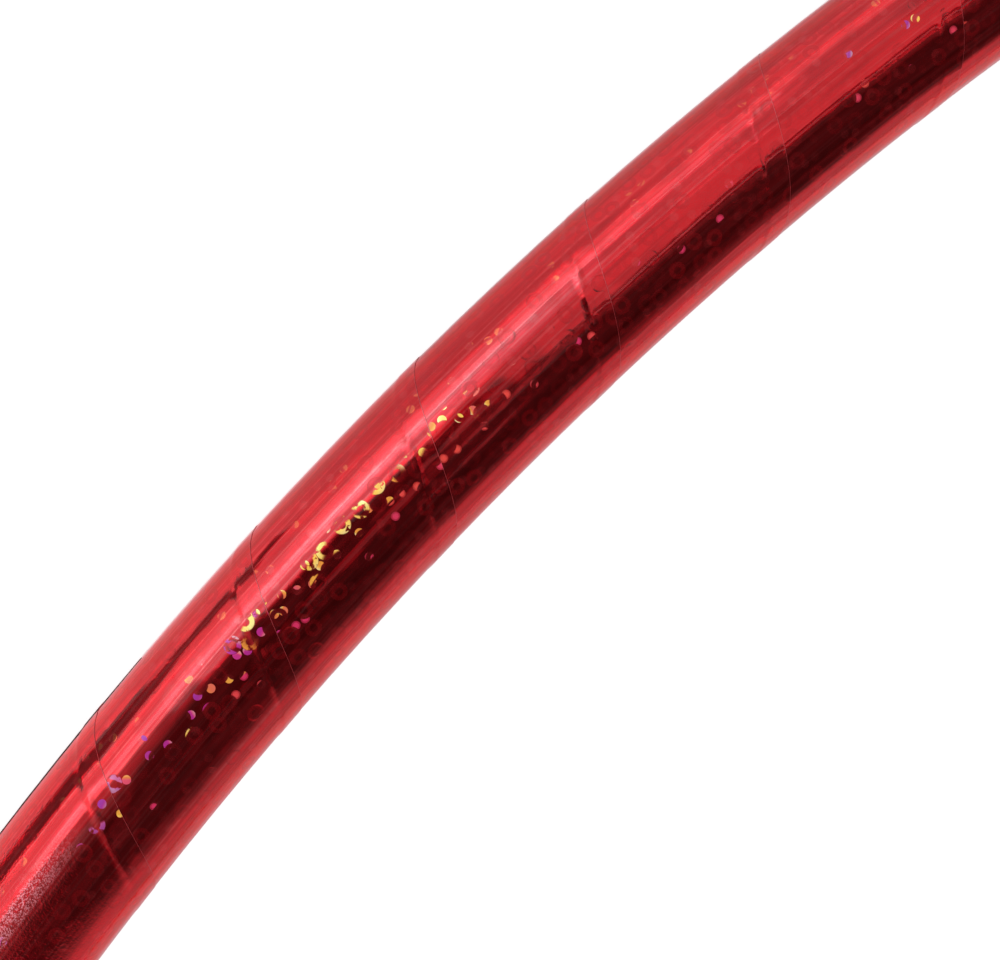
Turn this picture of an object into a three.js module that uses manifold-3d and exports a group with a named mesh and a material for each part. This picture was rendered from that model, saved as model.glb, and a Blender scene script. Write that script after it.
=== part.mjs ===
// A rhythmic hoop: a plastic tube bent into a ring, closed by a barbed plug and two pins
// inside its butt joint, and wound all the way round with one strip of patterned tape.
// Millimetres, +Z up. The hoop lies flat on z = 0, with its centre over the origin.
// The joint is at +X. Angles round the hoop run anticlockwise as seen from above.
// Round the tube, 0 is outward, a quarter turn is up and a half turn is inward.

import * as THREE from 'three';
import Module from 'manifold-3d';
import { mergeVertices } from 'three/addons/utils/BufferGeometryUtils.js';

const wasm = await Module();
wasm.setup();

// The hoop, across the centreline of its tube
const hoopDiameter = 897.2;

// The bare tube, across its flats
const tubeDiameter = 15;
const tubeWall = 2.6;
const tubeSides = 16;

// The tape: one strip in a left-hand helix, each turn lapped over the edge of the last
const tapeWidth = 25.4;
const tapeThickness = 0.1;
const tapeTurns = 112;
const tapeSides = 8;
const tapeFlat = 5;
const tapeStartCorner = 4;
const lapGap = 0.5;
const tapeEndGap = 0.5;

// The joint in the tube
const seamGap = 0.3;
const landLength = 40;
const landSteps = 6;
const barbCount = 3;
const barbLength = 6;
const barbStep = 0.8;
const barbDepth = 0.5;
const tipLength = 3;
const tipInset = 1.2;

// The pins, driven in from the inner side of the hoop
const pinFromSeam = 12;
const pinLength = 10;
const pinShankRadius = 1.2;
const pinHeadRadius = 2.3;
const pinHeadHeight = 1.2;
const pinTipRadius = 0.7;
const pinTipHeight = 1;
const pinSides = 16;

// The air left between pieces that seat on each other, and how far a cut runs past
const seatGap = 0.3;
const overrun = 2;

// Worked out from the sizes above
const hoopRadius = hoopDiameter / 2;
const tubeRadius = tubeDiameter / 2;
const boreRadius = tubeRadius - tubeWall;
const turnAngle = 2 * Math.PI / tapeTurns;
const pitch = hoopRadius * turnAngle;
const girth = tapeSides * sideWidth(tubeRadius + seatGap, tapeSides);
const tapeSpan = tapeWidth / Math.cos(Math.atan2(pitch, girth));
const tapeRise = (tapeThickness + lapGap) * (tapeSpan - tapeFlat) / (pitch - tapeFlat);
const woundRadius = tubeRadius + seatGap + tapeThickness + tapeRise;
const chordSag = hoopRadius * (1 - Math.cos(turnAngle / 2));
const landRadius = boreRadius - seatGap - chordSag;

const materials = {
  tube: new THREE.MeshStandardMaterial({ color: 0xe9e6df, roughness: 0.45, metalness: 0 }),
  plug: new THREE.MeshStandardMaterial({ color: 0xcfcabd, roughness: 0.5, metalness: 0 }),
  pin: new THREE.MeshStandardMaterial({ color: 0xb4b6b8, roughness: 0.3, metalness: 1 }),
  tape: new THREE.MeshStandardMaterial({ color: 0xc4303f, roughness: 0.25, metalness: 0.8 }),
};

// How wide each side of a section is whose flats lie `flat` from the tube's centreline
function sideWidth(flat, sides) {
  return 2 * flat * Math.tan(Math.PI / sides);
}

// A point at one corner of such a section. A side of it faces straight down.
function cornerPoint(around, corner, flat, sides) {
  const along = 2 * Math.PI * (corner + 0.5) / sides;
  const reach = flat / Math.cos(Math.PI / sides);
  const radius = hoopRadius + reach * Math.cos(along);
  return new THREE.Vector3(
    radius * Math.cos(around),
    radius * Math.sin(around),
    reach * Math.sin(along),
  );
}

function geometryFrom(points, triangles) {
  const geometry = new THREE.BufferGeometry().setFromPoints(points);
  geometry.setIndex(triangles);
  return geometry;
}

// A closed solid through a row of like sections, each a loop of points that turns
// anticlockwise when seen from the end of the row. `apex` is where its end faces fan from.
function loft(sections, apex) {
  const count = sections[0].length;
  const last = (sections.length - 1) * count;
  const triangles = [];
  for (let row = 0; row < last; row += count) {
    for (let i = 0; i < count; i += 1) {
      const a = row + i;
      const b = row + (i + 1) % count;
      triangles.push(a, b, b + count, a, b + count, a + count);
    }
  }
  for (let step = 1; step < count - 1; step += 1) {
    const b = (apex + step) % count;
    const c = (apex + step + 1) % count;
    triangles.push(apex, c, b);
    triangles.push(last + apex, last + b, last + c);
  }
  return geometryFrom(sections.flat(), triangles);
}

// A closed ring round the hoop. Its corners move on by one turn of the tape for each time
// round the tube, so its facets lie square under the tape's turns.
function helicalRing(flat) {
  const total = tubeSides * tapeTurns;
  const points = [];
  const triangles = [];
  for (let m = 0; m < total; m += 1) {
    points.push(cornerPoint(turnAngle * m / tubeSides, m, flat, tubeSides));
    const up = (m + 1) % total;
    const next = (m + tubeSides) % total;
    const nextUp = (m + 1 + tubeSides) % total;
    triangles.push(m, next, nextUp, m, nextUp, up);
  }
  return geometryFrom(points, triangles);
}

function toSolid(geometry) {
  const bare = geometry.clone();
  bare.deleteAttribute('normal');
  bare.deleteAttribute('uv');
  const merged = mergeVertices(bare);
  return new wasm.Manifold(new wasm.Mesh({
    numProp: 3,
    vertProperties: new Float32Array(merged.attributes.position.array),
    triVerts: new Uint32Array(merged.index.array),
  }));
}

function toGeometry(solid) {
  const mesh = solid.getMesh();
  const geometry = new THREE.BufferGeometry();
  geometry.setAttribute('position', new THREE.BufferAttribute(mesh.vertProperties, 3));
  geometry.setIndex(new THREE.BufferAttribute(mesh.triVerts, 1));
  return geometry;
}

// One cut across the tape: from its open edge, past the level strip beside it, down to the
// edge that is tucked under the next turn, and back along the underside.
function tapeSection(step) {
  const around = turnAngle * step / tapeSides + turnAngle / 2;
  const open = around - tapeSpan / 2 / hoopRadius;
  const tucked = around + tapeSpan / 2 / hoopRadius;
  const level = open + tapeFlat / hoopRadius;
  const low = woundRadius - tapeRise;
  return [
    cornerPoint(open, step, woundRadius, tapeSides),
    cornerPoint(level, step, woundRadius, tapeSides),
    cornerPoint(tucked, step, low, tapeSides),
    cornerPoint(tucked, step, low - tapeThickness, tapeSides),
    cornerPoint(open, step, woundRadius - tapeThickness, tapeSides),
  ];
}

// The strip starts low on the inner side of the hoop, where it shows least, goes round the
// tube once a turn and stops just short of its own start
function tapeSections() {
  const end = tapeStartCorner + tapeSides * tapeTurns;
  const sections = [];
  for (let step = tapeStartCorner; step < end; step += 1) {
    sections.push(tapeSection(step));
  }
  const reached = 1 - tapeEndGap / sideWidth(woundRadius, tapeSides);
  const start = tapeSection(end);
  sections.push(sections.at(-1).map((point, i) => point.clone().lerp(start[i], reached)));
  return sections;
}

// The least distance from the tucked part of a turn to the underside of the turn over it,
// on points spread over every side of one turn
function leastLapGap(sections) {
  const samples = 12;
  const lapShare = (tapeSpan - pitch) / (tapeSpan - tapeFlat);
  const closest = new THREE.Vector3();
  let least = Infinity;
  for (let step = 0; step < tapeSides; step += 1) {
    const over = [];
    for (let side = step - 1; side <= step + 1; side += 1) {
      const a = sections[side + tapeSides];
      const b = sections[side + 1 + tapeSides];
      over.push(new THREE.Triangle(a[4], a[3], b[3]), new THREE.Triangle(a[4], b[3], b[4]));
    }
    for (let i = 0; i <= samples; i += 1) {
      for (let j = 0; j <= samples; j += 1) {
        const back = lapShare * i / samples;
        const from = sections[step][2].clone().lerp(sections[step][1], back);
        const to = sections[step + 1][2].clone().lerp(sections[step + 1][1], back);
        const point = from.lerp(to, j / samples);
        for (const triangle of over) {
          triangle.closestPointToPoint(point, closest);
          least = Math.min(least, point.distanceTo(closest));
        }
      }
    }
  }
  return least;
}

// Half of a pin's outline as [radius, depth below the face of its head], with air round it
function pinOutline(air) {
  return [
    [pinHeadRadius + air, 0],
    [pinShankRadius + air, pinHeadHeight],
    [pinShankRadius + air, pinLength - pinTipHeight],
    [pinTipRadius + air, pinLength + air],
  ];
}

// A round solid along +X from such an outline
function turned(outline) {
  const points = [[0, outline[0][1]], ...outline, [0, outline.at(-1)[1]]];
  const profile = points.map(([radius, depth]) => new THREE.Vector2(radius, depth));
  return new THREE.LatheGeometry(profile, pinSides).rotateZ(-Math.PI / 2);
}

// Where a pin's head lies, flush with the inner side of the tube
function placePin(object, side) {
  const around = side * pinFromSeam / hoopRadius;
  const radius = hoopRadius - tubeRadius;
  object.position.set(radius * Math.cos(around), radius * Math.sin(around), 0);
  object.rotation.z = around;
  object.updateMatrix();
}

function pinHole(side) {
  const hole = new THREE.Object3D();
  placePin(hole, side);
  const outline = [[pinHeadRadius + seatGap, -overrun], ...pinOutline(seatGap)];
  return toSolid(turned(outline).applyMatrix4(hole.matrix));
}

// The tube: outside less bore, cut through at the joint and drilled for the pins
function tubeGeometry() {
  const slot = new THREE.BoxGeometry(tubeDiameter + overrun, seamGap, tubeDiameter + overrun);
  slot.translate(hoopRadius, 0, 0);
  const tube = toSolid(helicalRing(tubeRadius))
    .subtract(toSolid(helicalRing(boreRadius)))
    .subtract(toSolid(slot))
    .subtract(pinHole(-1))
    .subtract(pinHole(1));
  return toGeometry(tube);
}

// Half of the plug's outline as [distance from the seam, half width], from the seam out.
// The barbs slope towards the tip, so the plug goes in and doesn't come out.
function plugOutline() {
  const rootRadius = landRadius - barbDepth;
  const outline = [];
  for (let i = 1; i <= landSteps; i += 1) {
    outline.push([landLength / 2 * i / landSteps, landRadius]);
  }
  for (let i = 0; i < barbCount; i += 1) {
    const foot = landLength / 2 + barbStep + i * barbLength;
    outline.push([foot, rootRadius]);
    outline.push([foot + barbStep, landRadius]);
  }
  const end = landLength / 2 + barbStep + barbCount * barbLength;
  outline.push([end, rootRadius]);
  outline.push([end + tipLength, rootRadius - tipInset]);
  return outline;
}

function plugGeometry() {
  const half = plugOutline();
  const mirrored = half.map(([away, flat]) => [-away, flat]).reverse();
  const outline = [...mirrored, [0, landRadius], ...half];
  const sections = outline.map(([away, flat]) => {
    const loop = [];
    for (let corner = 0; corner < tubeSides; corner += 1) {
      loop.push(cornerPoint(away / hoopRadius, -corner, flat, tubeSides));
    }
    return loop;
  });
  const plug = toSolid(loft(sections, 0)).subtract(pinHole(-1)).subtract(pinHole(1));
  return toGeometry(plug);
}

function named(name, geometry, material) {
  const mesh = new THREE.Mesh(geometry, material);
  mesh.name = name;
  return mesh;
}

const hoop = new THREE.Group();
hoop.position.z = woundRadius;

const tape = tapeSections();
console.log(`least gap of the tape to itself: ${leastLapGap(tape).toFixed(3)} mm at a lap, `
  + `${tapeEndGap} mm between its ends`);
const underside = 3;
hoop.add(named('holographic_tape', loft(tape, underside), materials.tape));
hoop.add(named('hoop_tube', tubeGeometry(), materials.tube));
hoop.add(named('joint_plug', plugGeometry(), materials.plug));

for (const [number, side] of [[1, -1], [2, 1]]) {
  const pin = named(`joint_pin_${number}`, turned(pinOutline(0)), materials.pin);
  placePin(pin, side);
  hoop.add(pin);
}

const group = new THREE.Group();
group.add(hoop);

export default group;
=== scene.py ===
"""A rhythmic hoop wound with red patterned tape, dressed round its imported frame.

Metres, +Z up. The hoop lies flat on z = 0 with its centre over the origin and its joint at
+X. Angles round the hoop run anticlockwise as seen from above. Round the tube, 0 is outward
and a quarter turn is up.
"""

from math import atan2, ceil, cos, pi, radians, sin, sqrt, tan, tau

import bpy
from mathutils import Matrix, Quaternion, Vector


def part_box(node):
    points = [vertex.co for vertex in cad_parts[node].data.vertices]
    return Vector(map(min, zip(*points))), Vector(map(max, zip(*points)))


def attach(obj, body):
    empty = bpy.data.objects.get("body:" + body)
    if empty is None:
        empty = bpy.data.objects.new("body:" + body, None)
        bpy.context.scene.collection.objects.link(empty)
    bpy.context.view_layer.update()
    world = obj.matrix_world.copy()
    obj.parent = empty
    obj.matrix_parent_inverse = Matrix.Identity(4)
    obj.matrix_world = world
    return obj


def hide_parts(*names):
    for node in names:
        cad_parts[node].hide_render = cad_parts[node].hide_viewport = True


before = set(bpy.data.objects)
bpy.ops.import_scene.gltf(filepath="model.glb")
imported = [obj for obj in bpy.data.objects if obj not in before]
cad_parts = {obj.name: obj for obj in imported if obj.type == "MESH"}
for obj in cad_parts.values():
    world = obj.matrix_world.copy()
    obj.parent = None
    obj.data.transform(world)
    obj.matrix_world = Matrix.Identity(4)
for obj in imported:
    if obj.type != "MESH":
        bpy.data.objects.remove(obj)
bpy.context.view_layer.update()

MM = 0.001

# The hoop, as in the frame: across the centreline of its tube, and out to the tape's open edges
HOOP_RADIUS = 448.6 * MM
WOUND_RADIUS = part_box("holographic_tape")[1].z / 2

# The tape: one strip in a left-hand helix, each turn lapped over the edge of the last
TAPE_WIDTH = 25.4 * MM
TAPE_THICKNESS = 0.05 * MM
TAPE_TURNS = 112
TAPE_START = 0.5
END_GAP = 0.5 * MM
EDGE_MARGIN = 0.025 * MM
CRINKLE_HEIGHT = 0.016 * MM
CRINKLE_LENGTH = 2.6 * MM
CRINKLE_BREADTH_SHARE = 0.35
STEPS_PER_TURN = 32
START_ANGLE = tau / 16
MERGE_DISTANCE = 0.0005 * MM
SHARP_ANGLE = radians(35)

# Worked out from the sizes above
FACE_RADIUS = WOUND_RADIUS - TAPE_THICKNESS - EDGE_MARGIN
TURN_ANGLE = tau / TAPE_TURNS
PITCH = HOOP_RADIUS * TURN_ANGLE
GIRTH = tau * FACE_RADIUS
LEAN = atan2(PITCH, GIRTH)
TAPE_SPAN = TAPE_WIDTH / cos(LEAN)
LAP = TAPE_SPAN - PITCH
TURN_LENGTH = sqrt(GIRTH ** 2 + PITCH ** 2)

# The camera, round the tube's centreline at VIEW_ANGLE: its distance, how far it leans out
# from straight above and to which side, its roll, and the turn that puts the arc in the frame
VIEW_ANGLE = radians(134.9)
CAMERA_DISTANCE = 266.8 * MM
CAMERA_TILT = radians(26.29)
CAMERA_SWING = radians(6.84)
CAMERA_ROLL = radians(224.816)
CAMERA_YAW = radians(-1.221)
CAMERA_PITCH = radians(-1.006)
FOCAL_PIXELS = 2425.1
FRAME_WIDTH_PIXELS = 1000
SENSOR_WIDTH = 36.0
CAMERA_CLIP = 10 * MM


# ---- Node trees ----

class Wire:
    """One value in a node tree. An expression on wires adds the tree's Math nodes."""

    def __init__(self, nodes, socket):
        self.nodes = nodes
        self.socket = socket

    def out(self, name):
        """Another output of the node that this wire comes from."""
        return Wire(self.nodes, self.socket.node.outputs[name])

    def calc(self, operation, *others):
        return self.nodes.calc(operation, self, *others)

    def __add__(self, other):
        return self.calc("ADD", other)

    def __radd__(self, other):
        return self.nodes.calc("ADD", other, self)

    def __sub__(self, other):
        return self.calc("SUBTRACT", other)

    def __rsub__(self, other):
        return self.nodes.calc("SUBTRACT", other, self)

    def __mul__(self, other):
        return self.calc("MULTIPLY", other)

    def __rmul__(self, other):
        return self.nodes.calc("MULTIPLY", other, self)

    def __truediv__(self, other):
        return self.calc("DIVIDE", other)

    def __rtruediv__(self, other):
        return self.nodes.calc("DIVIDE", other, self)

    def __pow__(self, other):
        return self.calc("POWER", other)

    def __rpow__(self, other):
        return self.nodes.calc("POWER", other, self)

    def above(self, limit):
        """1 where the value is over the limit, or else 0."""
        return self.calc("GREATER_THAN", limit)

    def ramped(self, start, end):
        """0 up to `start`, 1 from `end` on, and smooth between. `start` may be the larger."""
        settings = {"interpolation_type": "SMOOTHSTEP"}
        return self.nodes.add("ShaderNodeMapRange", settings, [self, start, end, 0.0, 1.0])


class Nodes:
    """The nodes of one tree, which `add` makes and joins up."""

    def __init__(self, tree):
        self.tree = tree

    def add(self, kind, settings, links, output=0):
        """A new node: its settings first, then a value or a wire for each of its sockets."""
        node = self.tree.nodes.new(kind)
        for name, value in settings.items():
            if name == "stops":
                self.set_stops(node.color_ramp, value)
            else:
                setattr(node, name, value)
        pairs = links.items() if isinstance(links, dict) else enumerate(links)
        for key, value in pairs:
            if isinstance(value, Wire):
                self.tree.links.new(value.socket, node.inputs[key])
            else:
                node.inputs[key].default_value = value
        return Wire(self, node.outputs[output]) if len(node.outputs) else node

    @staticmethod
    def set_stops(ramp, stops):
        while len(ramp.elements) < len(stops):
            ramp.elements.new(1.0)
        for element, (place, colour) in zip(ramp.elements, stops):
            element.position = place
            element.color = (*colour, 1.0)

    def calc(self, operation, *values):
        return self.add("ShaderNodeMath", {"operation": operation}, values)

    def vector(self, x, y, z=0.0):
        return self.add("ShaderNodeCombineXYZ", {}, [x, y, z])

    def parts(self, wire):
        """The three numbers of a vector or colour."""
        split = self.add("ShaderNodeSeparateXYZ", {}, [wire])
        return split.out("X"), split.out("Y"), split.out("Z")

    def noise(self, vector, scale, detail, w=None, seed=0.0):
        """Smooth noise from 0 to 1, of three numbers, or of four with `w` or a seed."""
        links = {"Vector": vector, "Scale": scale, "Detail": detail}
        settings = {"noise_dimensions": "3D"}
        if w is not None or seed:
            settings = {"noise_dimensions": "4D"}
            links["W"] = seed if w is None else w + seed
        return self.add("ShaderNodeTexNoise", settings, links)

    def mixed(self, share, first, second):
        """A colour between two, each a wire or three numbers."""
        pair = [v if isinstance(v, Wire) else (*v, 1.0) for v in (first, second)]
        links = {0: share, 6: pair[0], 7: pair[1]}
        return self.add("ShaderNodeMix", {"data_type": "RGBA"}, links, output=2)

    def bump(self, height):
        """The surface's normal, leant by a height in metres."""
        return self.add("ShaderNodeBump", {}, {"Strength": 1.0, "Distance": 1.0, "Height": height})


def new_material(name):
    """A material with its nodes, its surface shader and the object's own coordinates."""
    material = bpy.data.materials.new(name)
    material.use_nodes = True
    nodes = Nodes(material.node_tree)
    shader = material.node_tree.nodes["Principled BSDF"]
    place = nodes.add("ShaderNodeTexCoord", {}, {}, output="Object")
    return material, nodes, shader, place


def feed(nodes, shader, links):
    """Sets or joins a shader's sockets by their names."""
    for name, value in links.items():
        socket = shader.inputs[name]
        if isinstance(value, Wire):
            nodes.tree.links.new(value.socket, socket)
        else:
            socket.default_value = value


# ---- The tape's shape ----

def tape_outline():
    """The tape's cut as (distance from the open edge, height over the bare tube's face, how
    much it crinkles), over the top and back along the underside."""
    top = TAPE_THICKNESS
    clear = 0.004 * MM
    over = [
        (0.0, top, 0.4),
        (0.8 * MM, top, 0.2),
        (2.0 * MM, top, 0.1),
        (LAP - 0.45 * MM, top + 0.002 * MM, 0.6),
        (LAP - 0.1 * MM, top + 0.005 * MM, 1.0),
        (LAP + 0.04 * MM, top - 0.003 * MM, 1.0),
        (LAP + 0.3 * MM, top * 0.32, 1.0),
        (LAP + 0.55 * MM, top * 0.04, 0.7),
        (LAP + 1.2 * MM, 0.0, 0.2),
        (PITCH * 0.3, 0.0, 0.0),
        (PITCH * 0.54, 0.0, 0.0),
        (PITCH * 0.78, 0.0, 0.0),
        (PITCH - 0.3 * MM, 0.0, 0.0),
        (PITCH + 0.4 * MM, -2 * clear, 0.0),
        (TAPE_SPAN - 0.1 * MM, -2 * clear, 0.0),
        (TAPE_SPAN, -4 * clear, 0.0),
    ]
    under = [
        (TAPE_SPAN, -top - clear, 0.0),
        (PITCH + 0.4 * MM, -top - clear, 0.0),
        (PITCH * 0.54, -top, 0.0),
        (LAP + 1.2 * MM, -top, 0.0),
        (LAP + 0.45 * MM, -top * 0.8, 0.0),
        (LAP - 0.05 * MM, clear, 0.0),
        (LAP - 0.45 * MM, clear, 0.0),
        (0.0, clear, 0.0),
    ]
    return over + under


def tape_tree():
    """Geometry nodes that carry the tape's cut round the tube and round the hoop."""
    tree = bpy.data.node_groups.new("lapped_tape", "GeometryNodeTree")
    sockets = {}
    for name, kind in (
        ("Cut", "NodeSocketObject"),
        ("Cut points", "NodeSocketInt"),
        ("Steps", "NodeSocketInt"),
        ("Steps in a turn", "NodeSocketFloat"),
        ("First turn", "NodeSocketFloat"),
        ("Last turn", "NodeSocketFloat"),
        ("Turn angle", "NodeSocketFloat"),
        ("Hoop radius", "NodeSocketFloat"),
        ("Face radius", "NodeSocketFloat"),
        ("Height of the centreline", "NodeSocketFloat"),
        ("Crinkle height", "NodeSocketFloat"),
        ("Crinkle length", "NodeSocketFloat"),
        ("Finish", "NodeSocketMaterial"),
    ):
        sockets[name] = tree.interface.new_socket(name, in_out="INPUT", socket_type=kind)
    tree.interface.new_socket("Geometry", in_out="OUTPUT", socket_type="NodeSocketGeometry")
    nodes = Nodes(tree)
    given = nodes.add("NodeGroupInput", {}, {})

    points = given.out("Cut points")
    steps = given.out("Steps")
    grid = nodes.add("GeometryNodeMeshGrid", {}, {
        "Size X": 1.0, "Size Y": 1.0, "Vertices X": steps + 3.0, "Vertices Y": points + 1.0,
    })
    index = nodes.add("GeometryNodeInputIndex", {}, {})
    row = ((index + 0.5) / (points + 1.0)).calc("FLOOR")
    column = index - row * (points + 1.0)

    # The first and last rows close the strip's ends: their points all lie at the cut's middle
    within = (row - 1.0).calc("MAXIMUM", 0.0).calc("MINIMUM", steps)
    capped = (row - 1.0 - within).calc("ABSOLUTE")
    turn = (given.out("First turn") + within / given.out("Steps in a turn")).calc(
        "MINIMUM", given.out("Last turn"))

    cut = nodes.add("GeometryNodeObjectInfo", {}, [given.out("Cut")], output="Geometry")
    places = nodes.add("GeometryNodeInputPosition", {}, {})
    sample = nodes.add("GeometryNodeSampleIndex", {"data_type": "FLOAT_VECTOR"}, {
        "Geometry": cut, "Value": places, "Index": column.calc("FLOORED_MODULO", points),
    })
    across, height, looseness = nodes.parts(sample)
    middle = TAPE_SPAN / 2
    low = -TAPE_THICKNESS / 2
    across = across + capped * (middle - across)
    height = height + capped * (low - height)

    # Crinkles where the strip steps off the turn below, and small lifts of its open edge
    along = turn * TURN_LENGTH / given.out("Crinkle length")
    crinkle = nodes.noise(
        nodes.vector(along, across / (CRINKLE_BREADTH_SHARE * given.out("Crinkle length"))),
        1.0, detail=1.0)
    loose = looseness * (1.0 - capped)
    height = height + (crinkle - 0.5) * 2.0 * given.out("Crinkle height") * loose

    round_tube = turn * tau + START_ANGLE
    round_hoop = (turn + 0.5) * given.out("Turn angle") + (
        across - middle) / given.out("Hoop radius")
    reach = given.out("Face radius") + height
    radius = given.out("Hoop radius") + reach * round_tube.calc("COSINE")
    position = nodes.vector(
        radius * round_hoop.calc("COSINE"),
        radius * round_hoop.calc("SINE"),
        given.out("Height of the centreline") + reach * round_tube.calc("SINE"),
    )
    strip = nodes.add("GeometryNodeSetPosition", {}, {"Geometry": grid, "Position": position})

    # The strip laid flat: how far along it and across it each point lies
    flat_place = nodes.vector(
        turn * TURN_LENGTH + across * sin(LEAN), across * cos(LEAN))
    flat_place = nodes.add(
        "GeometryNodeFieldOnDomain", {"data_type": "FLOAT_VECTOR", "domain": "POINT"},
        [flat_place])
    strip = nodes.add(
        "GeometryNodeStoreNamedAttribute", {"data_type": "FLOAT2", "domain": "CORNER"},
        {"Geometry": strip, "Name": "tape_face", "Value": flat_place})
    strip = nodes.add("GeometryNodeMergeByDistance", {}, {
        "Geometry": strip, "Distance": MERGE_DISTANCE})
    strip = nodes.add("GeometryNodeFlipFaces", {}, [strip])
    strip = nodes.add("GeometryNodeRealizeInstances", {}, [strip])
    strip = nodes.add("GeometryNodeSetMaterial", {}, {
        "Geometry": strip, "Material": given.out("Finish")})
    nodes.add("NodeGroupOutput", {}, [strip])
    return tree, {name: socket.identifier for name, socket in sockets.items()}


def make_tape(material):
    outline = tape_outline()
    cut_mesh = bpy.data.meshes.new("tape_cut")
    cut_mesh.from_pydata(outline, [], [])
    cut = bpy.data.objects.new("tape_cut", cut_mesh)
    bpy.context.collection.objects.link(cut)

    last_turn = TAPE_START + TAPE_TURNS - END_GAP / TURN_LENGTH
    holder = bpy.data.objects.new("tape_holder", bpy.data.meshes.new("tape_holder"))
    bpy.context.collection.objects.link(holder)
    tree, identifiers = tape_tree()
    modifier = holder.modifiers.new("Lapped tape", "NODES")
    modifier.node_group = tree
    for name, value in {
        "Cut": cut,
        "Cut points": len(outline),
        "Steps": TAPE_TURNS * STEPS_PER_TURN,
        "Steps in a turn": float(STEPS_PER_TURN),
        "First turn": TAPE_START,
        "Last turn": last_turn,
        "Turn angle": TURN_ANGLE,
        "Hoop radius": HOOP_RADIUS,
        "Face radius": FACE_RADIUS,
        "Height of the centreline": WOUND_RADIUS,
        "Crinkle height": CRINKLE_HEIGHT,
        "Crinkle length": CRINKLE_LENGTH,
        "Finish": material,
    }.items():
        modifier[identifiers[name]] = value

    graph = bpy.context.evaluated_depsgraph_get()
    mesh = bpy.data.meshes.new_from_object(holder.evaluated_get(graph), depsgraph=graph)
    mesh.name = "tape"
    mesh.materials.pop(index=0)
    mesh.shade_smooth()
    mesh.set_sharp_from_angle(angle=SHARP_ANGLE)
    tape = bpy.data.objects.new("tape", mesh)
    bpy.context.collection.objects.link(tape)
    for helper in (holder, cut):
        helper_mesh = helper.data
        bpy.data.objects.remove(helper)
        bpy.data.meshes.remove(helper_mesh)
    bpy.data.node_groups.remove(tree)
    return tape


# ---- The tape's finish ----

# Base colours of the red foil and of its open edge: a pale line that is the clear film's cut side
# and partly a painted highlight, and a painted shadow beside it
FOIL_RED = (0.67, 0.010, 0.017)
FOIL_DEEP = (0.47, 0.004, 0.009)
FOIL_DARK = (0.34, 0.003, 0.007)
FOIL_PALE = (0.72, 0.09, 0.095)
EDGE_CUT_AND_HIGHLIGHT = (0.50, 0.10, 0.11)
EDGE_PAINTED_SHADOW = (0.12, 0.0, 0.002)
SPECULAR_TINT = (0.95, 0.32, 0.36, 1.0)
EDGE_LINE = 0.06 * MM

# Painted glints: colours painted on the eyelets and dots where they seem to catch the light, from
# gold to violet, and their pale painted highlight; then the colours of single painted dot and
# speck glints
EYELET_PAINTED_HIGHLIGHT = (1.0, 0.86, 0.52)
EYELET_GLINT_HUES = [
    (0.0, (1.0, 0.68, 0.20)),
    (0.25, (1.0, 0.46, 0.06)),
    (0.42, (0.85, 0.20, 0.03)),
    (0.54, (0.80, 0.04, 0.14)),
    (0.66, (0.55, 0.02, 0.22)),
    (0.84, (0.34, 0.02, 0.26)),
    (1.0, (0.60, 0.10, 0.24)),
]
DOT_GLINT_CORAL = (0.95, 0.07, 0.05)
DOT_GLINT_MAGENTA = (0.85, 0.03, 0.13)
DOT_GLINT_ORANGE = (0.80, 0.17, 0.06)
SPECK_GLINT_PINK = (0.92, 0.27, 0.32)

# How far along these painted glint hues the marks run: everywhere, beyond that where they turn
# violet, and from one side of a mark to the other. Then how pale the painted highlight on their
# best lit parts goes, and how much less so where they turn violet
GOLD_HUES = 0.42
VIOLET_HUES = 0.55
HUE_CHANGE = 0.1
PAINTED_HIGHLIGHT_SHARE = 0.5
PAINTED_HIGHLIGHT_LOST = 0.42

# The marks in the foil: how far apart and how big they are, how far they stray from even rows,
# and how steep their relief is
EYELET_SPACING = 2.35 * MM
EYELET_RADIUS = 1.04 * MM
EYELET_HOLE = 0.46 * MM
DOT_SPACING = 1.75 * MM
DOT_RADIUS = 0.53 * MM
DOT_SEED = 41.3
SPECK_SPACING = 0.12 * MM
MARK_STRAYING = 0.45
MARK_LEAN = 0.02
MARK_LEAN_LEAST = 0.1

# Where a mark's colour and its relief fade out, in its radii from its middle, and the same from
# the edge of its hole
MARK_RIM = (1.0, 0.86)
MARK_SLOPE = (1.0, 0.7)
# Where the red dots' painted glint grows to full strength towards their middle
DOT_GLINT_MIDDLE = (1.0, 0.2)
HOLE_RIM = (-0.1, 0.06)
HOLE_SLOPE = (-0.1, 0.2)

# How far a part of a mark leans where it is painted lit as a glint, painted pale or changes hue
PAINTED_LIT_SIDE = (-0.12, 0.14)
PAINTED_LIT_BACK = (-0.42, -0.6)
PAINTED_HIGHLIGHT_SIDE = (0.2, 0.9)
HUE_SIDE = (0.5, -0.1)

# Relief drawn out along the tube: its length, its breadth round the tube and its height
LONG_FLATS = (80 * MM, 2.6 * MM, 0.13 * MM)
RIPPLES = (60 * MM, 0.9 * MM, 0.036 * MM)
STREAKS = (50 * MM, 0.3 * MM, 0.005 * MM)

# Colour drawn out the same way: its length and its breadth, where its noise sets in, and the
# share of it that is laid over the foil's red
PALE_STREAKS = (45 * MM, 0.28 * MM)
PALE_ONSET = (0.5, 0.68)
PALE_SHARE = 0.38
PALE_SWELL = 0.1
RED_STREAKS = (30 * MM, 1.0 * MM)
RED_ONSET = (0.34, 0.62)
BLOTCHES = (7 * MM, 1.5 * MM)
BLOTCH_ONSET = (0.5, 0.68)
BLOTCH_SHARE = 0.42
GLINT_PATCHES = (9 * MM, 5 * MM)
TURN_SHIFT = 0.35

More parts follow.
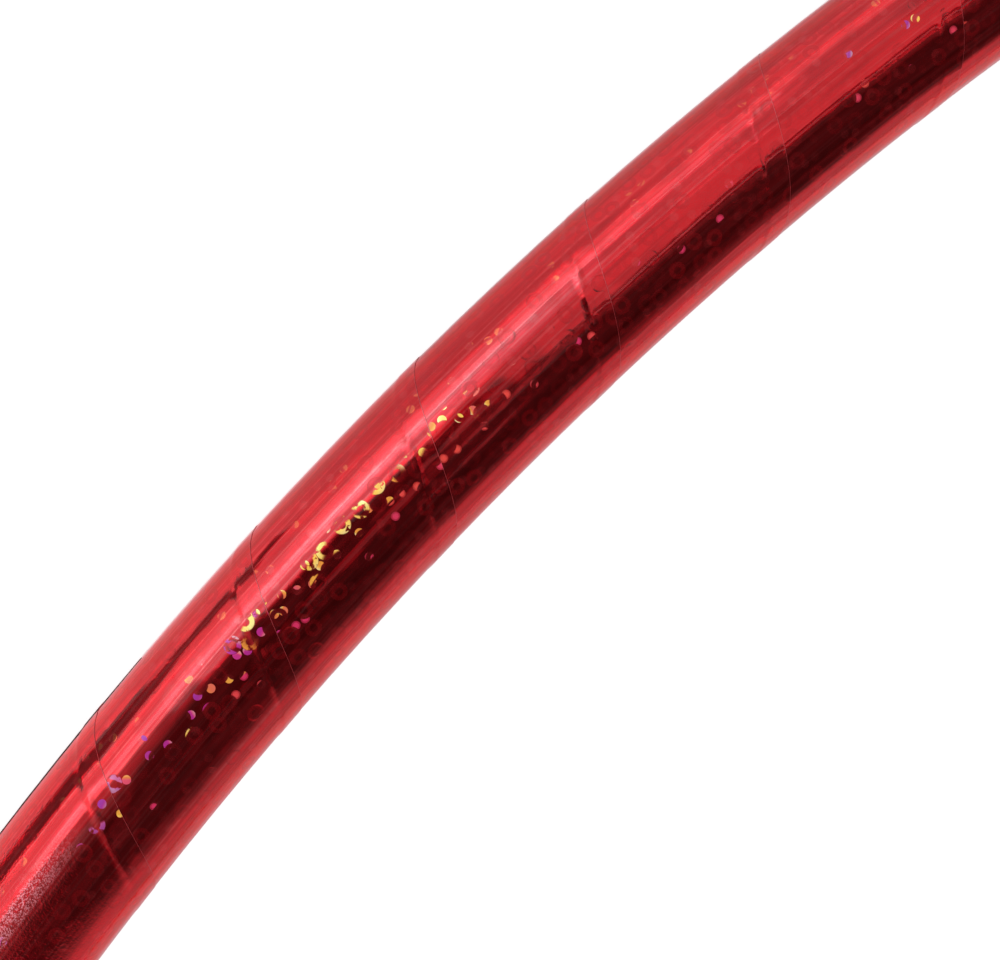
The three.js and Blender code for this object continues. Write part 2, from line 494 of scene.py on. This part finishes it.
# Relief the same every way: its size and its height. The grain's height is in millimetres, for
# where the grain swells and at the least
GRAIN_SIZE = 0.26 * MM
GRAIN_HEIGHT = 0.03
GRAIN_LEAST = 0.0006
DENT_SIZE = 5 * MM
DENT_HEIGHT = 0.14 * MM

# Crinkles beside the buried edge: how far they reach, their size and their height
RIDGE_REACH = 0.8 * MM
RIDGE_NEAR = 0.05 * MM
RIDGE_CRINKLE_LENGTH = 1.5 * MM
RIDGE_CRINKLE_BREADTH = 0.8 * MM
RIDGE_CRINKLE_HEIGHT = 0.045 * MM

# Where round the tube the marks and specks are painted as glints, as (angle outward of the crown,
# reach), and how they fade at the ends of that reach
SPARKLE_BAND = (radians(32), radians(9))
RED_DOT_BAND = (radians(14), radians(9))
ORANGE_DOT_BAND = (radians(62), radians(8))
SPECK_GLINT_BAND = (radians(37), radians(9))
DOT_BAND_END = (1.0, 0.9)
SPECK_GLINT_BAND_END = (1.0, 0.2)

# Where the painted sparkle sets in, and which share of the marks stays dull, with no painted glint
EYELET_SPARKLE = (0.46, 0.50)
EYELETS_DULL = 0.7
DOT_SPARKLE = (0.43, 0.47)
DOTS_DULL = 0.6
RED_DOTS_DULL = 0.86
ORANGE_DOTS_DULL = 0.7
SPECK_ONSET = (0.3, 1.0)

# What breaks the larger painted glints up into lobes: how big its gaps are and where it sets in
GLINT_BREAK_SIZE = 0.85 * MM
GLINT_BREAK_ONSET = (0.40, 0.50)

# How much of each kind of painted dot and speck glint shows, and of the marks where they don't
# glint. The red dots' painted glint is weaker at their rim than in their middle
RED_DOT_GLINT_RIM = 0.5
ORANGE_DOT_GLINT_SHARE = 0.45
SPECK_SHARE = 0.75
SPECK_GLINT = 0.5
EYELET_DEEP_SHARE = 0.5
DOT_PALE_SHARE = 0.14
DOT_PALE_ONSET = (0.4, 1.0)
DOT_MAGENTA_ONSET = (0.88, 0.98)
EDGE_SHARE = 0.45
EDGE_SHADE_SHARE = 0.6

# How much less metallic the edge, the glints, the eyelets and the dots are than plain foil
EDGE_FILM = 0.3
GLINT_FILM = 0.75
EYELET_FILM = 0.12
DOT_FILM = 0.05

# How rough plain foil is, how much rougher its flats get, and the edge and the glints
FOIL_ROUGHNESS = 0.10
FLATS_ROUGHNESS = 0.06
MARK_ROUGHNESS = 0.2

# The swells round the hoop of the painted sparkle, of its violet share and of the grain, where the
# painted specks glint too
SPARKLE_SWELLS = 18
SPARKLE_SWELL = 0.16
SPARKLE_FALL = 0.12
SPARKLE_CREST = SPARKLE_SWELLS * radians(140.2)
VIOLET_CREST = SPARKLE_SWELLS * radians(143.5)
GRAIN_AND_SPECK_SWELLS = 9
GRAIN_AND_SPECK_CREST = GRAIN_AND_SPECK_SWELLS * radians(147)
GRAIN_AND_SPECK_ONSET = (0.7, 0.85)


def eyelets(nodes, face, spacing, radius, hole, violet, seed):
    """One layer of small round marks in the foil: their mask, their height, the part painted as a
    glint, its painted hue with a painted highlight on its best lit side, a random number for each
    mark, and a rise to its middle. `violet` is how far the hues run on to violet."""
    along, across, _ = nodes.parts(face)
    grid = nodes.vector(along / spacing + seed, across / spacing + seed)
    cells = nodes.add(
        "ShaderNodeTexVoronoi", {"voronoi_dimensions": "2D", "feature": "F1"},
        {"Vector": grid, "Scale": 1.0, "Randomness": MARK_STRAYING})
    away = cells.out("Distance") * (spacing / radius)
    mask = away.ramped(*MARK_RIM)
    relief = away.ramped(*MARK_SLOPE)
    if hole:
        inside = hole / radius
        mask = mask * away.ramped(*(inside + share for share in HOLE_RIM))
        relief = relief * away.ramped(*(inside + share for share in HOLE_SLOPE))
    centre_x, centre_y, _ = nodes.parts(cells.out("Position"))
    grid_x, grid_y, _ = nodes.parts(grid)
    lean_x, lean_y, force = nodes.parts(cells.out("Color"))
    lean = (lean_x - 0.5) * (grid_x - centre_x) + (lean_y - 0.5) * (grid_y - centre_y)
    lean = lean * (2.0 * spacing / radius)
    height = relief * lean * (force ** 3.0 + MARK_LEAN_LEAST) * (radius * MARK_LEAN)
    hue = nodes.add(
        "ShaderNodeTexWhiteNoise", {"noise_dimensions": "2D"}, {"Vector": cells.out("Position")})
    hue = hue * (GOLD_HUES + VIOLET_HUES * violet) + lean.ramped(*HUE_SIDE) * HUE_CHANGE
    colour = nodes.add("ShaderNodeValToRGB", {"stops": EYELET_GLINT_HUES}, [hue])
    pale = lean.ramped(*PAINTED_HIGHLIGHT_SIDE) * (PAINTED_HIGHLIGHT_SHARE - PAINTED_HIGHLIGHT_LOST * violet)
    colour = nodes.mixed(pale, colour, EYELET_PAINTED_HIGHLIGHT)
    painted_lit_side = lean.ramped(*PAINTED_LIT_SIDE).calc("MAXIMUM", lean.ramped(*PAINTED_LIT_BACK))
    return mask, height, mask * painted_lit_side, colour, force, away.ramped(*DOT_GLINT_MIDDLE)


def tape_material():
    material, nodes, shader, place = new_material("red_holographic_tape")
    x, y, z = nodes.parts(place)
    ring = (x * x + y * y) ** 0.5
    out = ring - HOOP_RADIUS
    up = z - WOUND_RADIUS
    face = nodes.add("ShaderNodeUVMap", {"uv_map": "tape_face"}, {})
    along, across, _ = nodes.parts(face)
    turn = (along - across * tan(LEAN)) / TURN_LENGTH

    def drawn_noise(length, breadth, seed, detail=1.0, shift=TURN_SHIFT):
        """Noise drawn out along the tube: so long along it and so broad round it. `shift` is
        how far it changes from each turn of the tape to the next."""
        vector = nodes.vector(
            x / ring * (HOOP_RADIUS / length), y / ring * (HOOP_RADIUS / length), out / breadth)
        w = up / breadth + turn * shift
        return nodes.noise(vector, 1.0, detail=detail, w=w, seed=seed)

    # Long flats and fine streaks, from film stretched over a round tube
    flats = drawn_noise(*LONG_FLATS[:2], seed=3.0)
    ripples = drawn_noise(*RIPPLES[:2], seed=11.0)
    streaks = drawn_noise(*STREAKS[:2], seed=17.0)
    height = flats * LONG_FLATS[2] + ripples * RIPPLES[2] + streaks * STREAKS[2]

    # Swells of three kinds round the hoop, with a fine grain, and later painted glint specks,
    # where the last are high
    round_hoop = y.calc("ARCTAN2", x)
    swells = round_hoop * SPARKLE_SWELLS
    swell = (swells - SPARKLE_CREST).calc("COSINE")
    violet = (swells - VIOLET_CREST).calc("COSINE") * 0.5 + 0.5
    grain_and_speck_glint = (round_hoop * GRAIN_AND_SPECK_SWELLS - GRAIN_AND_SPECK_CREST).calc("COSINE").ramped(*GRAIN_AND_SPECK_ONSET)
    grain = nodes.noise(place, 1 / GRAIN_SIZE, detail=1.0, seed=43.0)
    dents = nodes.noise(place, 1 / DENT_SIZE, detail=1.0, seed=59.0)
    height = height + grain * (grain_and_speck_glint * GRAIN_HEIGHT + GRAIN_LEAST) * MM + dents * DENT_HEIGHT

    # Crinkles beside the buried edge
    from_ridge = (across - LAP * cos(LEAN)).calc("ABSOLUTE")
    crinkles = nodes.noise(
        nodes.vector(along / RIDGE_CRINKLE_LENGTH, across / RIDGE_CRINKLE_BREADTH), 1.0,
        detail=2.0, seed=7.0)
    beside = from_ridge.ramped(RIDGE_REACH, RIDGE_NEAR)
    height = height + beside * crinkles * RIDGE_CRINKLE_HEIGHT

    big_mask, big_height, big_painted_lit, big_glint_colour, big_force, _ = eyelets(
        nodes, face, EYELET_SPACING, EYELET_RADIUS, EYELET_HOLE, violet, 0.0)
    dot_mask, dot_height, dot_painted_lit, dot_glint_colour, dot_force, dot_painted_middle = eyelets(
        nodes, face, DOT_SPACING, DOT_RADIUS, 0.0, violet, DOT_SEED)
    height = height + big_height + dot_height * (1.0 - big_mask)

    # Painted glints, where the marks are painted as if they broke the light up into other hues: in
    # patches beside the tube's crown
    from_crown = out.calc("ARCTAN2", up)
    patches = drawn_noise(*GLINT_PATCHES, seed=23.0, shift=0.0)

    def away_from(side, reach):
        """How far a point lies from an angle off the crown, squared: 1 at the reach."""
        return ((from_crown - side) / reach) ** 2.0

    sparkle = patches + swell * SPARKLE_SWELL - away_from(*SPARKLE_BAND) * SPARKLE_FALL
    glint_breakup = nodes.noise(face, 1 / GLINT_BREAK_SIZE, detail=2.0, seed=53.0).ramped(*GLINT_BREAK_ONSET)
    big_painted_glint = big_painted_lit * sparkle.ramped(*EYELET_SPARKLE) * big_force.above(EYELETS_DULL) * glint_breakup
    dot_alone = 1.0 - big_mask
    dot_painted_glint = dot_mask * sparkle.ramped(*DOT_SPARKLE) * dot_force.above(DOTS_DULL) * dot_alone
    # Red and orange dots painted as glints in their own bands round the tube, the red ones painted
    # stronger in their middle
    red_dot_glint = dot_mask * dot_force.above(RED_DOTS_DULL) * dot_alone
    red_dot_glint = red_dot_glint * away_from(*RED_DOT_BAND).ramped(*DOT_BAND_END)
    red_dot_glint = red_dot_glint * (RED_DOT_GLINT_RIM + (1.0 - RED_DOT_GLINT_RIM) * dot_painted_middle)
    orange_dot_glint = dot_painted_lit * dot_force.above(ORANGE_DOTS_DULL) * dot_alone
    orange_dot_glint = orange_dot_glint * away_from(*ORANGE_DOT_BAND).ramped(*DOT_BAND_END)

    # The foil's own red, in streaks and blotches, and its marks where they don't glint
    pale = drawn_noise(*PALE_STREAKS, seed=31.0, detail=2.0).ramped(*PALE_ONSET)
    reds = drawn_noise(*RED_STREAKS, seed=37.0, detail=2.0).ramped(*RED_ONSET)
    blotches = drawn_noise(*BLOTCHES, seed=67.0, detail=2.0).ramped(*BLOTCH_ONSET)
    dot_pale = dot_force.ramped(*DOT_PALE_ONSET) * DOT_PALE_SHARE
    colour = nodes.mixed(reds, FOIL_DEEP, FOIL_RED)
    colour = nodes.mixed(pale * (PALE_SHARE + PALE_SWELL * swell), colour, FOIL_PALE)
    colour = nodes.mixed(blotches * BLOTCH_SHARE, colour, FOIL_DARK)
    colour = nodes.mixed(big_mask * (big_force * EYELET_DEEP_SHARE), colour, FOIL_DEEP)
    colour = nodes.mixed(dot_mask * dot_pale, colour, FOIL_PALE)

    # The painted glints over it, and specks painted as glints where the foil is grained
    red_dot_glint_hue = nodes.mixed(dot_force.ramped(*DOT_MAGENTA_ONSET), DOT_GLINT_CORAL, DOT_GLINT_MAGENTA)
    specks = nodes.add(
        "ShaderNodeTexVoronoi", {"voronoi_dimensions": "2D", "feature": "F1"},
        {"Vector": face, "Scale": 1 / SPECK_SPACING, "Randomness": 1.0})
    speck_force, _, _ = nodes.parts(specks.out("Color"))
    # Painted glints: pale pink specks, as glitter, where the grain swells in a band round the tube
    painted_speck = speck_force.ramped(*SPECK_ONSET) * grain_and_speck_glint
    painted_speck = painted_speck * away_from(*SPECK_GLINT_BAND).ramped(*SPECK_GLINT_BAND_END)
    for share, hue in (
        (orange_dot_glint * ORANGE_DOT_GLINT_SHARE, DOT_GLINT_ORANGE),
        (red_dot_glint, red_dot_glint_hue),
        (dot_painted_glint, dot_glint_colour),
        (big_painted_glint, big_glint_colour),
        (painted_speck * SPECK_SHARE, SPECK_GLINT_PINK),
    ):
        colour = nodes.mixed(share, colour, hue)
    painted_glint = big_painted_glint.calc("MAXIMUM", dot_painted_glint).calc("MAXIMUM", red_dot_glint)
    painted_glint = painted_glint.calc("MAXIMUM", painted_speck * SPECK_GLINT)

    # The open edge shows the clear film's cut side as a fine pale line, partly a painted highlight
    # along the edge, with a painted shadow of the edge's step as a dark line beside it
    edge = across.ramped(EDGE_LINE, EDGE_LINE * 0.6)
    colour = nodes.mixed(edge * EDGE_SHARE, colour, EDGE_CUT_AND_HIGHLIGHT)
    # Painted shadow: a dark line on the turn below, beside the open edge's step
    shade = (across - PITCH * cos(LEAN)).calc("ABSOLUTE").ramped(EDGE_LINE, 0.0)
    colour = nodes.mixed(shade * EDGE_SHADE_SHARE, colour, EDGE_PAINTED_SHADOW)

    films = big_mask * (big_force * EYELET_FILM) + dot_mask * (dot_force * DOT_FILM)
    rough = FOIL_ROUGHNESS + FLATS_ROUGHNESS * flats
    feed(nodes, shader, {
        "Base Color": colour,
        "Metallic": 1.0 - edge * EDGE_FILM - painted_glint * GLINT_FILM - films * (1.0 - painted_glint),
        "Roughness": rough + edge * MARK_ROUGHNESS + painted_glint * MARK_ROUGHNESS,
        "Normal": nodes.bump(height),
        "Specular Tint": SPECULAR_TINT,
        "Coat Weight": 0.6,
        "Coat Roughness": 0.03,
        "Coat IOR": 1.45,
    })
    return material


# ---- The finishes inside ----

# For each plastic: its colour, the shade that mottles it, how rough it is and its grain's size
TUBE_PLASTIC = ((0.84, 0.82, 0.78), (0.76, 0.74, 0.69), 0.42, 0.35 * MM)
PLUG_PLASTIC = ((0.70, 0.67, 0.60), (0.60, 0.57, 0.50), 0.5, 0.25 * MM)
PLASTIC_MOTTLE = 60.0
PLASTIC_RELIEF = 0.12

STEEL_DULL = (0.52, 0.53, 0.54)
STEEL_BRIGHT = (0.68, 0.69, 0.70)
STEEL_ROUGHNESS = 0.28
STEEL_PATCHES = 300.0
STEEL_MARKS = 2600.0
STEEL_MARK_HEIGHT = 0.012 * MM

# How far the roughness of plastic and steel varies
ROUGHNESS_SPREAD = 0.2


def plastic_material(name, colour, shade, roughness, grain):
    """Moulded or drawn plastic with a slight mottle and a fine grain."""
    material, nodes, shader, place = new_material(name)
    mottle = nodes.noise(place, PLASTIC_MOTTLE, detail=3.0)
    fine = nodes.noise(place, 1 / grain, detail=4.0, seed=5.0)
    feed(nodes, shader, {
        "Base Color": nodes.mixed(mottle, shade, colour),
        "Roughness": roughness + (fine - 0.5) * ROUGHNESS_SPREAD,
        "Normal": nodes.bump(fine * (grain * PLASTIC_RELIEF)),
    })
    return material


def steel_material():
    """Bright drawn steel with turning marks."""
    material, nodes, shader, place = new_material("pin_steel")
    marks = nodes.noise(place, STEEL_MARKS, detail=3.0)
    dull = nodes.noise(place, STEEL_PATCHES, detail=2.0, seed=2.0)
    feed(nodes, shader, {
        "Base Color": nodes.mixed(dull, STEEL_DULL, STEEL_BRIGHT),
        "Metallic": 1.0,
        "Roughness": STEEL_ROUGHNESS + (marks - 0.5) * ROUGHNESS_SPREAD,
        "Normal": nodes.bump(marks * STEEL_MARK_HEIGHT),
    })
    return material


# ---- The stage ----

# Directions at the arc in view: outward from the hoop, along the tube and up
OUTWARD = Vector((cos(VIEW_ANGLE), sin(VIEW_ANGLE), 0))
ALONG = Vector((-sin(VIEW_ANGLE), cos(VIEW_ANGLE), 0))
UP = Vector((0, 0, 1))
ARC_MIDDLE = OUTWARD * HOOP_RADIUS + UP * WOUND_RADIUS

# How light the room is at each height, from level with the hoop to overhead, and how much
# lower the dark part comes down towards the arc's far end. Then how strong and how fine its
# streaks are, and its even light on matt surfaces
ROOM_STOPS = [
    (0.0, (0.82, 0.82, 0.82)),
    (0.15, (0.74, 0.74, 0.74)),
    (0.28, (0.62, 0.62, 0.62)),
    (0.50, (0.34, 0.34, 0.34)),
    (0.62, (0.15, 0.15, 0.15)),
    (0.70, (0.06, 0.06, 0.06)),
    (0.80, (0.11, 0.11, 0.11)),
    (0.88, (0.04, 0.04, 0.04)),
    (1.0, (0.09, 0.09, 0.09)),
]
ROOM_TILT = 0.9
ROOM_STREAK = 0.16
ROOM_STREAKS = 16.0
AMBIENT = 0.8

# The floor: how pale it is, how much it glows for the camera and in the foil, the share of that
# second glow at the arc's far end and inside the hoop, and where along the arc it becomes whole
FLOOR_PALE = 0.86
FLOOR_GLOW_SEEN = 0.60
FLOOR_GLOW_MIRRORED = 0.52
FLOOR_GLOW_FAR_SHARE = 0.34
FLOOR_NEAR_END = (-15 * MM, 50 * MM)
FLOOR_HALF = 6.0


def local(outward, along, up):
    """A direction or an offset in metres, from those at the arc in view."""
    return OUTWARD * outward + ALONG * along + UP * up


def world_light():
    """Pale low down and dark overhead where the hoop mirrors it; white behind the hoop."""
    world = bpy.data.worlds.new("studio")
    world.use_nodes = True
    nodes = Nodes(world.node_tree)
    background = world.node_tree.nodes["Background"]
    direction = nodes.add("ShaderNodeTexCoord", {}, {}, output="Generated")
    x, y, rise = nodes.parts(direction)
    along = x * ALONG.x + y * ALONG.y
    side = (x * OUTWARD.x + y * OUTWARD.y).calc("ARCTAN2", rise)
    streak = nodes.noise(nodes.vector(side * ROOM_STREAKS, along), 1.0, detail=2.0)
    height = rise - along * ROOM_TILT + (streak - 0.5) * ROOM_STREAK
    room = nodes.add("ShaderNodeValToRGB", {"stops": ROOM_STOPS}, [height])
    path = nodes.add("ShaderNodeLightPath", {}, {})
    lit = nodes.mixed(path.out("Is Diffuse Ray"), room, (AMBIENT, AMBIENT, AMBIENT))
    seen = nodes.mixed(path.out("Is Camera Ray"), lit, (1.0, 1.0, 1.0))
    world.node_tree.links.new(seen.socket, background.inputs["Color"])
    bpy.context.scene.world = world


def floor_material():
    """Pale matt floor that looks white and still takes a shadow. It glows less in the foil."""
    material, nodes, shader, place = new_material("studio_floor")
    x, y, _ = nodes.parts(place)
    along = x * ALONG.x + y * ALONG.y
    beyond = ((x * x + y * y) ** 0.5).above(HOOP_RADIUS)
    brighter = along.ramped(*FLOOR_NEAR_END) * beyond
    path = nodes.add("ShaderNodeLightPath", {}, {})
    share = FLOOR_GLOW_FAR_SHARE
    glow = nodes.mixed(
        brighter.calc("MAXIMUM", path.out("Is Camera Ray")), (share, share, share),
        (1.0, 1.0, 1.0))
    seen = path.out("Is Camera Ray") * FLOOR_GLOW_SEEN
    mirrored = path.out("Is Glossy Ray").calc(
        "MAXIMUM", path.out("Is Transmission Ray")) * FLOOR_GLOW_MIRRORED
    feed(nodes, shader, {
        "Base Color": (FLOOR_PALE, FLOOR_PALE, FLOOR_PALE, 1.0),
        "Roughness": 0.9,
        "Specular IOR Level": 0.0,
        "Emission Color": glow,
        "Emission Strength": seen + mirrored,
    })
    return material


def make_floor():
    half = FLOOR_HALF
    corners = [(-half, -half, 0), (half, -half, 0), (half, half, 0), (-half, half, 0)]
    mesh = bpy.data.meshes.new("floor")
    mesh.from_pydata(corners, [], [(0, 1, 2, 3)])
    mesh.materials.append(floor_material())
    floor = bpy.data.objects.new("floor", mesh)
    bpy.context.collection.objects.link(floor)


# Lamps low beside the arc, on its outer side: wide ones, and brighter strips in front of them.
# For each: where it stands outward of the arc's middle, along it and up, how steeply it faces
# down, its width and height, how many times white it is, and how much red it keeps beside its
# green and blue
LAMPS = {
    "outer_softbox": ((0.62, -0.18, 0.26), 0.1, (0.72, 0.60), 1.05, 0.79),
    "near_softbox": ((0.62, 0.56, 0.17), 0.1, (0.76, 0.42), 1.0, 0.78),
    "outer_strip": ((0.60, 0.02, 0.26), 0.3, (0.35, 0.44), 1.0, 0.15),
    "middle_strip": ((0.59, 0.10, 0.25), 0.3, (0.46, 0.18), 0.8, 0.2),
    "bright_strip": ((0.58, 0.10, 0.235), 0.3, (0.43, 0.07), 2.4, 0.15),
    "far_strip": ((0.57, -0.12, 0.15), 0.3, (0.36, 0.05), 1.4, 0.3),
    "far_line": ((0.57, -0.10, 0.21), 0.3, (0.30, 0.015), 3.0, 0.3),
}


def make_lamp(name, place, fall, size, level, red):
    width, height = size
    lamp = bpy.data.lights.new(name, "AREA")
    lamp.shape = "RECTANGLE"
    lamp.color = (red, 1.0, 1.0)
    lamp.size = width
    lamp.size_y = height
    lamp.energy = level * pi * width * height
    holder = bpy.data.objects.new(name, lamp)
    back = local(1, 0, fall).normalized()
    turn = Matrix((ALONG, back.cross(ALONG), back)).transposed()
    holder.matrix_world = Matrix.Translation(ARC_MIDDLE + local(*place)) @ turn.to_4x4()
    holder.visible_camera = False
    bpy.context.collection.objects.link(holder)


# Lit panels overhead, and one on the arc's inner side: the brightness of each, and its corners
# as how far they lie outward and along the arc, and up, in metres
CEILING = 0.7
CEILING_PANELS = {
    "end_panel": (0.86, [(0.20, -0.14), (0.86, -0.11), (1.1, -1.6), (0.16, -1.6)]),
    "outer_panel": (0.80, [(0.84, 0.06), (1.1, 0.10), (1.1, -1.6), (0.86, -0.11)]),
    "shoulder_panel": (1.0, [(1.04, 0.05), (1.34, 0.10), (1.34, -0.16), (0.94, -0.12)]),
    "first_slat": (0.42, [(0.38, 0.00), (0.50, -0.05), (0.50, -0.14), (0.24, -0.14)]),
    "second_slat": (0.40, [(0.03, -0.03), (0.08, -0.06), (0.09, -0.16), (-0.09, -0.16)]),
    "third_slat": (0.40, [(-0.32, -0.02), (-0.26, -0.04), (-0.27, -0.10), (-0.36, -0.08)]),
    "fourth_slat": (0.36, [(0.10, 0.12), (0.17, 0.10), (0.22, -0.03), (0.08, -0.02)]),
    "fifth_slat": (0.20, [(0.05, -0.17), (0.01, -1.2), (-0.14, -1.2), (-0.07, -0.17)]),
    "line_slat": (1.1, [(0.135, -0.17), (0.095, -0.17), (0.035, -1.2), (0.075, -1.2)]),
    "sixth_slat": (0.26, [(-0.06, 0.30), (-0.02, 0.30), (-0.05, 0.06), (-0.07, 0.08)]),
    "seventh_slat": (0.20, [(-0.20, 0.30), (-0.14, 0.28), (-0.18, 0.02), (-0.19, 0.04)]),
}
INNER_PANEL_LEVEL = 0.72
INNER_PANEL = [
    (-0.6, 0.08, 0.0), (-0.6, -0.02, 0.28), (-0.6, -0.12, 0.215), (-0.6, -0.24, 0.165),
    (-0.6, -1.2, 0.10), (-0.6, -1.2, 0.0),
]


def make_panel(name, level, corners):
    mesh = bpy.data.meshes.new(name)
    mesh.from_pydata(
        [ARC_MIDDLE + local(*corner) for corner in corners], [], [range(len(corners))])
    material, nodes, shader, _ = new_material(name)
    feed(nodes, shader, {
        "Base Color": (0.0, 0.0, 0.0, 1.0),
        "Specular IOR Level": 0.0,
        "Emission Color": (1.0, 1.0, 1.0, 1.0),
        "Emission Strength": level,
    })
    mesh.materials.append(material)
    panel = bpy.data.objects.new(name, mesh)
    bpy.context.collection.objects.link(panel)
    panel.visible_camera = panel.visible_shadow = False


def make_panels():
    for name, (level, corners) in CEILING_PANELS.items():
        make_panel(name, level, [
            (out * CEILING, along * CEILING, CEILING) for out, along in corners])
    make_panel("inner_panel", INNER_PANEL_LEVEL, INNER_PANEL)


# Strips on the floor that only the foil sees, as dark lines. For each: how dark it is, and how
# far round the hoop from the middle of the view it reaches with its two edges how far out from
# the tube's middle
DARK_CARDS = {
    "outer_card": (0.24, [
        (2.0, 43, 44), (2.6, 41, 46), (2.75, 26, 42), (3.2, 28, 44), (3.4, 33, 56),
        (5.4, 33, 60), (6.2, 30, 80), (7.6, 25, 105), (36, 25, 105),
    ]),
    # Painted shade: a dark strip under the tube, where the floor lies in its contact shadow, for
    # the foil to mirror as a dark line along its outer edge
    "edge_card": (0.06, [(5.2, 5.0, 7.0), (7.0, 4.0, 7.9), (36, 4.0, 7.9)]),
}
CARD_STEP = radians(0.5)
CARD_LIFT = 0.3 * MM


def make_dark_card(name, shade, stations):
    rows = []
    for (turned, *edges), (next_turned, *next_edges) in zip(stations, stations[1:]):
        steps = ceil(radians(next_turned - turned) / CARD_STEP)
        for i in range(steps + 1):
            share = i / steps
            angle = VIEW_ANGLE + radians(turned + (next_turned - turned) * share)
            for first, last in zip(edges, next_edges):
                radius = HOOP_RADIUS + (first + (last - first) * share) * MM
                rows.append((radius * cos(angle), radius * sin(angle), CARD_LIFT))
    faces = [(i, i + 1, i + 3, i + 2) for i in range(0, len(rows) - 2, 2)]
    mesh = bpy.data.meshes.new(name)
    mesh.from_pydata(rows, [], faces)
    material, nodes, shader, _ = new_material(name)
    feed(nodes, shader, {"Base Color": (shade, shade, shade, 1.0), "Specular IOR Level": 0.0})
    mesh.materials.append(material)
    card = bpy.data.objects.new(name, mesh)
    bpy.context.collection.objects.link(card)
    card.visible_camera = card.visible_diffuse = card.visible_shadow = False


def make_camera():
    lean = local(
        sin(CAMERA_TILT) * cos(CAMERA_SWING), sin(CAMERA_TILT) * sin(CAMERA_SWING),
        cos(CAMERA_TILT))
    forward = -lean
    above = (ALONG - forward * ALONG.dot(forward)).normalized()
    right = forward.cross(above)
    rolled_right = cos(CAMERA_ROLL) * right + sin(CAMERA_ROLL) * above
    rolled_up = cos(CAMERA_ROLL) * above - sin(CAMERA_ROLL) * right
    aim = Quaternion(rolled_up, CAMERA_YAW) @ Quaternion(rolled_right, CAMERA_PITCH)
    axes = [aim @ rolled_right, aim @ rolled_up, aim @ lean]
    camera = bpy.data.cameras.new("camera")
    camera.sensor_width = SENSOR_WIDTH
    camera.lens = FOCAL_PIXELS / FRAME_WIDTH_PIXELS * SENSOR_WIDTH
    camera.clip_start = CAMERA_CLIP
    holder = bpy.data.objects.new("camera", camera)
    place = ARC_MIDDLE + lean * CAMERA_DISTANCE
    holder.matrix_world = Matrix.Translation(place) @ Matrix(axes).transposed().to_4x4()
    bpy.context.collection.objects.link(holder)
    bpy.context.scene.camera = holder


# ---- Making the scene ----

bpy.context.scene.view_settings.view_transform = "Standard"
make_camera()
world_light()
make_floor()
for lamp_name, settings in LAMPS.items():
    make_lamp(lamp_name, *settings)
make_panels()
for card_name, settings in DARK_CARDS.items():
    make_dark_card(card_name, *settings)

tape = make_tape(tape_material())
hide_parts("holographic_tape")
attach(tape, "root")

tube_plastic = plastic_material("tube_plastic", *TUBE_PLASTIC)
plug_plastic = plastic_material("plug_plastic", *PLUG_PLASTIC)
steel = steel_material()
for node, finish in (
    ("hoop_tube", tube_plastic),
    ("joint_plug", plug_plastic),
    ("joint_pin_1", steel),
    ("joint_pin_2", steel),
):
    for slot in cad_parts[node].material_slots:
        slot.material = finish
